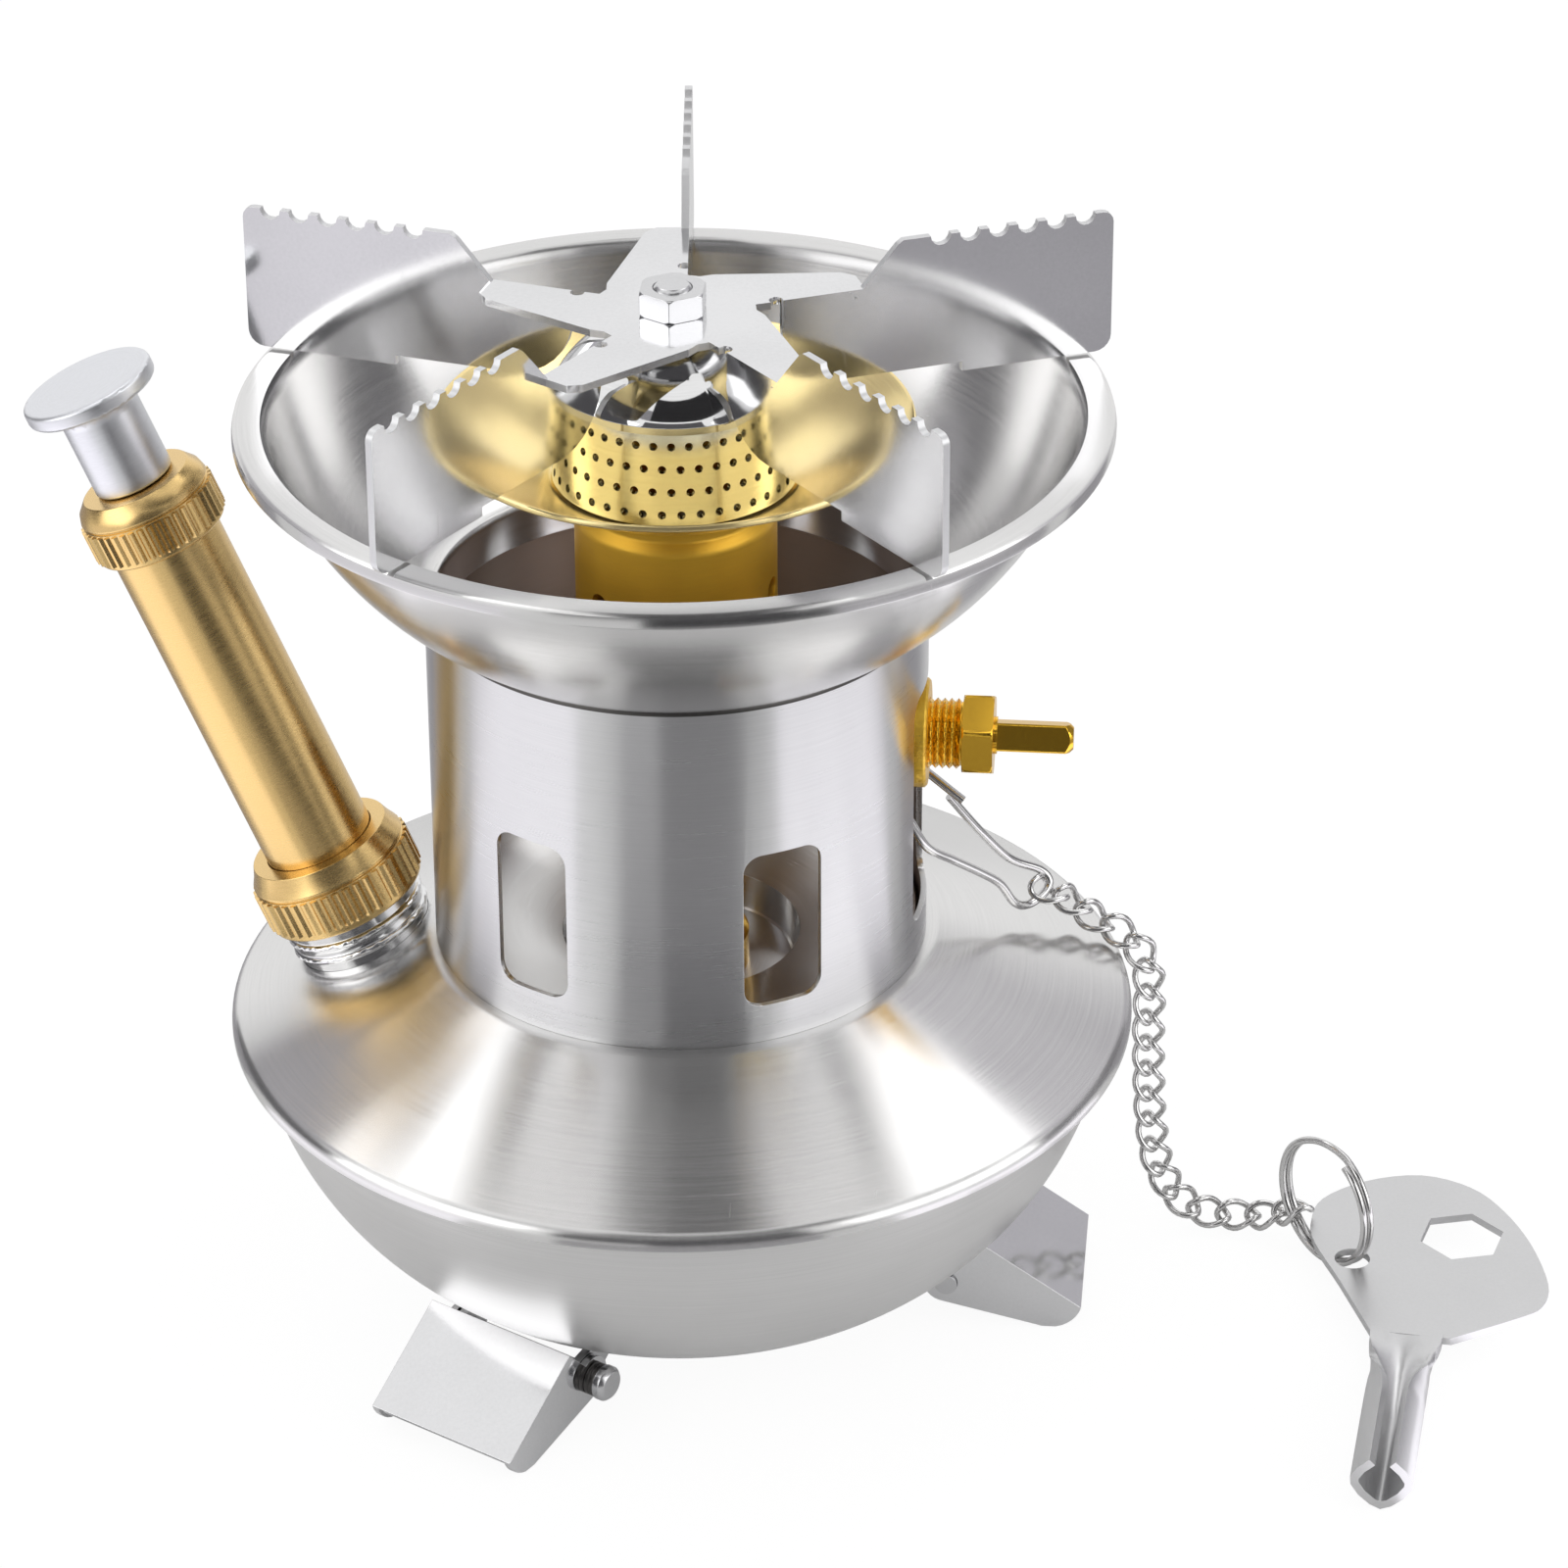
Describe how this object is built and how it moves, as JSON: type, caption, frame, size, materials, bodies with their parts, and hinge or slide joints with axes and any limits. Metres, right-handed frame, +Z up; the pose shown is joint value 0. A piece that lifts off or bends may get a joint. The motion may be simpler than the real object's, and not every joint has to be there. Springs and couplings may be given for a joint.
{
  "type": "gasoline camping stove",
  "caption": "Pumped gasoline stove: round steel tank on folding feet, windowed neck, brass burner in a wind bowl, bladed pot support, hand pump and valve key on a chain.",
  "frame": {"origin": "tank axis at floor level, between the toes of the three unfolded feet", "axes": "+Z up along the tank axis, +X along the valve spindle towards its square end, the pump leans to -X"},
  "size_m": [0.2009, 0.12, 0.1498],
  "materials": {
    "polished_steel": "polished",
    "brushed_steel": "brushed",
    "dark_steel": "satin",
    "brass": "satin",
    "nickel": "polished",
    "aluminium": "satin",
    "rubber": "matte",
    "leather": "matte",
    "cotton": "matte"
  },
  "bodies": {
    "stove": {"tank_upper_shell": "polished_steel", "tank_lower_shell": "polished_steel", "filler_neck": "nickel", "neck_shield": "brushed_steel", "wind_bowl": "polished_steel", "vaporizer_body": "brass", "wick": "cotton", "pickup_tube": "brass", "gland_nut": "brass", "gland_packing": "rubber", "jet_nozzle": "brass", "mixing_cup": "brass", "flame_saucer": "brass", "perforated_cone": "brass", "dome_cap": "nickel", "centre_stud": "brushed_steel", "stud_nut": "brushed_steel", "pot_support": "polished_steel", "hinge_brackets": "polished_steel", "hinge_pins": "polished_steel", "hinge_washers": "dark_steel", "wire_clip": "nickel", "chain": "nickel", "split_ring": "nickel", "valve_key": "nickel"},
    "pump": {"pump_barrel": "brass", "pump_cap": "brass", "check_valve_body": "brass", "check_valve_spring": "brushed_steel", "filler_gasket": "rubber"},
    "pump_nut": {"pump_nut": "brass"},
    "plunger": {"plunger_knob": "aluminium", "plunger_rod": "brushed_steel", "piston_cup": "leather", "piston_hardware": "brushed_steel"},
    "check_pad": {"check_valve_pad": "rubber"},
    "spindle": {"valve_spindle": "brass"},
    "needle": {"needle_rack": "brass"},
    "foot_right": {"foot_right": "polished_steel"},
    "foot_rear": {"foot_rear": "polished_steel"},
    "foot_front": {"foot_front": "polished_steel"}
  },
  "joints": [
    {"name": "pump_lift", "type": "slide", "parent": "stove", "child": "pump", "axis": [-0.3827, 0, 0.9239], "range_m": [0, 0.045]},
    {"name": "pump_nut_turn", "type": "hinge", "parent": "pump", "child": "pump_nut", "pos_m": [-0.0423, 0, 0.05063], "axis": [-0.3827, 0, 0.9239], "range_deg": [0, 1080]},
    {"name": "plunger_slide", "type": "slide", "parent": "pump", "child": "plunger", "axis": [-0.3827, 0, 0.9239], "range_m": [0, 0.045]},
    {"name": "check_pad_lift", "type": "slide", "parent": "pump", "child": "check_pad", "axis": [0.3827, 0, -0.9239], "range_m": [0, 0.0008], "stiffness_N_per_m": 100, "springref_m": -0.001, "deforming": ["check_valve_spring"]},
    {"name": "spindle_turn", "type": "hinge", "parent": "stove", "child": "spindle", "pos_m": [0, 0, 0.0846], "axis": [1, 0, 0], "range_deg": [0, 120]},
    {"name": "needle_lift", "type": "slide", "parent": "stove", "child": "needle", "axis": [0, 0, 1], "range_m": [0, 0.0042]},
    {"name": "foot_right_fold", "type": "hinge", "parent": "stove", "child": "foot_right", "pos_m": [0.0364, 0, 0.0063], "axis": [0, 1, 0], "range_deg": [0, 160]},
    {"name": "foot_rear_fold", "type": "hinge", "parent": "stove", "child": "foot_rear", "pos_m": [-0.0182, 0.03152, 0.0063], "axis": [-0.866, -0.5, 0], "range_deg": [0, 160]},
    {"name": "foot_front_fold", "type": "hinge", "parent": "stove", "child": "foot_front", "pos_m": [-0.0182, -0.03152, 0.0063], "axis": [0.866, -0.5, 0], "range_deg": [0, 160]}
  ],
  "couplings": [
    {"joint": "needle_lift", "follows": "spindle_turn", "m_per_rad": 0.002}
  ]
}
